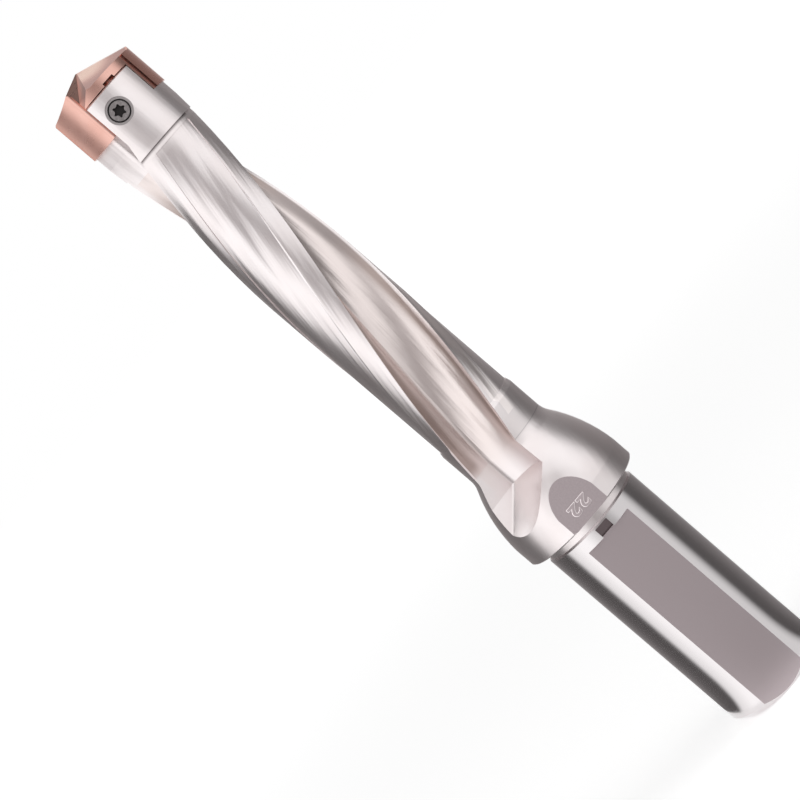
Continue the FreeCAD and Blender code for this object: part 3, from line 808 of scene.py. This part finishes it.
def tent_finish():
    """Wall of the light tent: white and dark panels in reflections, and clear to the camera."""
    shader = Shader("tent_finish")
    x, y, z = shader.axes(shader.position())
    bearing = shader.math("ARCTAN2", x, shader.math("MULTIPLY", y, -1.0))
    angle, panels = tent_panels(shader, bearing, shader.distance(x, y), z)

    # The panels end lower in front, under a white canopy that is greyer at the back on the +X side
    beside = shader.ramp(shader.math("ABSOLUTE", angle), *PANEL_SIDE)
    ends = shader.ramp(z, *(shader.between(beside, front, side)
                            for front, side in zip(PANEL_TOPS_FRONT, PANEL_TOPS_SIDE)))
    back = shader.product(shader.ramp(x, *CANOPY_BACK_X), shader.ramp(y, *CANOPY_BACK_Y))
    canopy = shader.blend(back, (CANOPY_TONE,) * 3, (CANOPY_BACK_TONE,) * 3)
    above = shader.blend(ends, panels, canopy)
    overhead = shader.above(z, CANOPY_HEIGHT - 1 * MM)
    glow = shader.node("ShaderNodeEmission")
    shader.feed(glow.inputs["Color"], shader.blend(overhead, above, (OVERHEAD_TONE,) * 3))
    clear = shader.node("ShaderNodeBsdfTransparent")
    rays = shader.node("ShaderNodeLightPath")
    mix = shader.node("ShaderNodeMixShader")
    shader.feed(mix.inputs[0], rays.outputs["Is Glossy Ray"])
    shader.feed(mix.inputs[1], clear.outputs[0])
    shader.feed(mix.inputs[2], glow.outputs[0])
    made = shader.finish(mix.outputs[0])
    made.cycles.emission_sampling = "NONE"
    return made


def light_tent():
    """Round wall about the drill, with a skirt over the floor, a canopy and a dark disc overhead."""
    mesh = bpy.data.meshes.new("light_tent")
    build = bmesh.new()
    turns = [math.tau * i / TENT_SIDES for i in range(TENT_SIDES)]
    rings = []
    for radius, level in ((SKIRT_RADIUS, SKIRT_LEVEL), (TENT_RADIUS, SKIRT_LEVEL), (TENT_RADIUS, TENT_HEIGHT),
                          (CANOPY_RADIUS, CANOPY_HEIGHT)):
        rings.append([build.verts.new((radius * math.cos(turn), radius * math.sin(turn), level))
                      for turn in turns])
    for low, high in zip(rings, rings[1:]):
        for i in range(TENT_SIDES):
            j = (i + 1) % TENT_SIDES
            build.faces.new((low[i], low[j], high[j], high[i]))
    build.faces.new(rings[-1])
    build.to_mesh(mesh)
    build.free()
    mesh.materials.append(tent_finish())
    made = bpy.data.objects.new("light_tent", mesh)
    bpy.context.scene.collection.objects.link(made)
    return made


def floor(studio):
    """Square of floor under the drill."""
    mesh = bpy.data.meshes.new("floor")
    corners = [(x * FLOOR_HALF, y * FLOOR_HALF, 0) for x, y in ((-1, -1), (1, -1), (1, 1), (-1, 1))]
    mesh.from_pydata(corners, [], [(0, 1, 2, 3)])
    mesh.materials.append(floor_finish(studio))
    made = bpy.data.objects.new("floor", mesh)
    bpy.context.scene.collection.objects.link(made)
    return made


def softbox(name, size, centre, aim, power):
    """Area lamp that faces a point, with its long side upright. The tent takes its place in reflections."""
    lamp = bpy.data.lights.new(name, "AREA")
    lamp.shape = "RECTANGLE"
    lamp.size, lamp.size_y = size
    lamp.energy = power
    made = bpy.data.objects.new(name, lamp)
    made.visible_glossy = False
    bpy.context.scene.collection.objects.link(made)
    look = Vector(aim) - Vector(centre)
    made.matrix_world = Matrix.Translation(centre) @ look.to_track_quat("-Z", "Y").to_matrix().to_4x4()
    return made


def around(angle, distance, z):
    """Point around the drill: the angle is measured from the camera's side, towards +X."""
    turn = math.radians(angle)
    return Vector((distance * math.sin(turn), -distance * math.cos(turn), z))


def studio_world():
    """White to the camera and in reflections, and a soft fill elsewhere."""
    world = bpy.data.worlds.new("studio_world")
    world.use_nodes = True
    nodes = world.node_tree.nodes
    links = world.node_tree.links
    nodes.clear()
    rays = nodes.new("ShaderNodeLightPath")
    background = nodes.new("ShaderNodeBackground")
    background.inputs["Color"].default_value = (1, 1, 1, 1)
    level = None
    for ray, tone in (("Is Transmission Ray", 1.0), ("Is Glossy Ray", CANOPY_TONE), ("Is Camera Ray", 1.0)):
        mix = nodes.new("ShaderNodeMix")
        links.new(rays.outputs[ray], mix.inputs[0])
        if level is None:
            mix.inputs[2].default_value = WORLD_FILL
        else:
            links.new(level, mix.inputs[2])
        mix.inputs[3].default_value = tone
        level = mix.outputs[0]
    links.new(level, background.inputs["Strength"])
    output = nodes.new("ShaderNodeOutputWorld")
    links.new(background.outputs[0], output.inputs["Surface"])
    world.cycles.sampling_method = "NONE"
    return world


def studio_camera(studio):
    """Camera in front of the drill, with the picture turned so that the drill lies aslant."""
    aim = Vector((studio.aim_side, 0, studio.aim_height))
    place = Vector((studio.aim_side, -studio.camera_distance, studio.camera_height))
    turn = (aim - place).to_track_quat("-Z", "Y").to_matrix().to_4x4()
    lens = bpy.data.cameras.new("camera")
    lens.sensor_fit = "HORIZONTAL"
    lens.angle = studio.field_of_view
    lens.clip_start = CAMERA_NEAREST
    camera = bpy.data.objects.new("camera", lens)
    bpy.context.scene.collection.objects.link(camera)
    camera.matrix_world = Matrix.Translation(place) @ turn @ Matrix.Rotation(-studio.camera_roll, 4, "Z")
    return camera


def dress(piece, material):
    """Give a piece one material in place of those it has."""
    piece.data.materials.clear()
    piece.data.materials.append(material)


def mark_letters(context, text):
    """Mesh of the size mark's letters, about one unit high."""
    letters = bpy.data.curves.new("size_mark_letters", "FONT")
    letters.body = text
    letters.extrude = LETTER_DEPTH
    letters.bevel_depth = LETTER_BEVEL
    letters.space_character = LETTER_SPACING
    letters.resolution_u = LETTER_CURVE_STEPS
    drawn = bpy.data.objects.new("size_mark_letters", letters)
    context.scene.collection.objects.link(drawn)
    context.view_layer.update()
    mesh = bpy.data.meshes.new_from_object(drawn.evaluated_get(context.evaluated_depsgraph_get()))
    bpy.data.objects.remove(drawn)
    if not mesh.vertices:
        raise RuntimeError("the size mark has no digits to draw")
    return mesh


class DrillStudio(bpy.types.Operator):
    """Set up the floor, the softboxes, the light tent, the world and the camera."""
    bl_idname = "drill.studio"
    bl_label = "Studio"

    def execute(self, context):
        scene = context.scene
        studio = scene.drill_studio
        for name in ("Cube", "Light", "Camera"):
            found = bpy.data.objects.get(name)
            if found is not None:
                bpy.data.objects.remove(found)
        floor(studio)
        middle = Vector((0, 0, OVERALL_LENGTH / 2))
        for name, side, share in (("left_softbox", -1, 1.0), ("right_softbox", 1, RIGHT_BOX_SHARE)):
            place = around(side * SIDE_BOX_ANGLE, SIDE_BOX_DISTANCE, SIDE_BOX_HEIGHT)
            softbox(name, SIDE_BOX_SIZE, place, middle, studio.softbox_power * share)
        softbox("top_softbox", TOP_BOX_SIZE, TOP_BOX_PLACE, middle, studio.top_power)
        light_tent()
        scene.world = studio_world()
        scene.view_settings.view_transform = "Standard"
        scene.camera = studio_camera(studio)
        return {"FINISHED"}


class DrillHolder(bpy.types.Operator):
    """Give the holder its satin nickel, ground and milled finishes."""
    bl_idname = "drill.holder"
    bl_label = "Holder"

    def execute(self, context):
        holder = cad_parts[HOLDER]
        dress(holder, holder_steel(context.scene.drill_finish))
        return {"FINISHED"}


class DrillSizeMark(bpy.types.Operator):
    """Put the raised size mark on the flange's flat."""
    bl_idname = "drill.size_mark"
    bl_label = "Size mark"

    def execute(self, context):
        finish = context.scene.drill_finish
        mesh = mark_letters(context, finish.mark)
        corners = [[f(v.co[i] for v in mesh.vertices) for i in range(3)] for f in (min, max)]
        scale = [size / (high - low) for size, low, high in
                 zip((finish.mark_length, finish.mark_height, 2 * finish.mark_relief), *corners)]
        middle = [(low + high) / 2 for low, high in zip(*corners)]
        centre = Vector((0, -SIZE_FLAT_LEVEL, height(MARK_STATION)))

        # The digits' tops point at the shank, and they read towards -X
        along, tops, out = Vector((-1, 0, 0)), Vector((0, 0, -1)), Vector((0, -1, 0))
        for vertex in mesh.vertices:
            u, v, w = [(vertex.co[i] - middle[i]) * scale[i] for i in range(3)]
            vertex.co = centre + along * u + tops * v + out * w
        mark = bpy.data.objects.new("size_mark", mesh)
        dress(mark, raised_mark(finish))
        context.scene.collection.objects.link(mark)
        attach(mark, "root")
        return {"FINISHED"}


class DrillCrown(bpy.types.Operator):
    """Give the crown its copper-bronze coating."""
    bl_idname = "drill.crown"
    bl_label = "Crown"

    def execute(self, context):
        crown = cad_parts[CROWN]
        dress(crown, crown_coating(context.scene.drill_finish))
        return {"FINISHED"}


class DrillClampScrew(bpy.types.Operator):
    """Give the clamp screw its blackened finish and its thread."""
    bl_idname = "drill.clamp_screw"
    bl_label = "Clamp screw"

    def execute(self, context):
        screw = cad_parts[SCREW]
        dress(screw, screw_blacking(context.scene.drill_finish))
        return {"FINISHED"}


class DrillPanel(bpy.types.Panel):
    """Lists the drill's pieces and its settings."""
    bl_idname = "VIEW3D_PT_drill"
    bl_label = "Indexable insert drill"
    bl_space_type = "VIEW_3D"
    bl_region_type = "UI"
    bl_category = "Drill"

    def draw(self, context):
        for operator in (DrillStudio, DrillHolder, DrillSizeMark, DrillCrown, DrillClampScrew):
            self.layout.operator(operator.bl_idname)
        for group in (context.scene.drill_studio, context.scene.drill_finish):
            for name in group.bl_rna.properties.keys():
                if name not in ("rna_type", "name"):
                    self.layout.prop(group, name)


CLASSES = (
    DrillStudioSettings, DrillFinishSettings, DrillStudio, DrillHolder, DrillSizeMark, DrillCrown,
    DrillClampScrew, DrillPanel,
)


def register():
    for made in CLASSES:
        bpy.utils.register_class(made)
    bpy.types.Scene.drill_studio = PointerProperty(type=DrillStudioSettings)
    bpy.types.Scene.drill_finish = PointerProperty(type=DrillFinishSettings)


def unregister():
    del bpy.types.Scene.drill_finish
    del bpy.types.Scene.drill_studio
    for made in reversed(CLASSES):
        bpy.utils.unregister_class(made)


def main():
    register()
    bpy.ops.drill.studio()
    bpy.ops.drill.holder()
    bpy.ops.drill.size_mark()
    bpy.ops.drill.crown()
    bpy.ops.drill.clamp_screw()


if __name__ == "__main__":
    main()
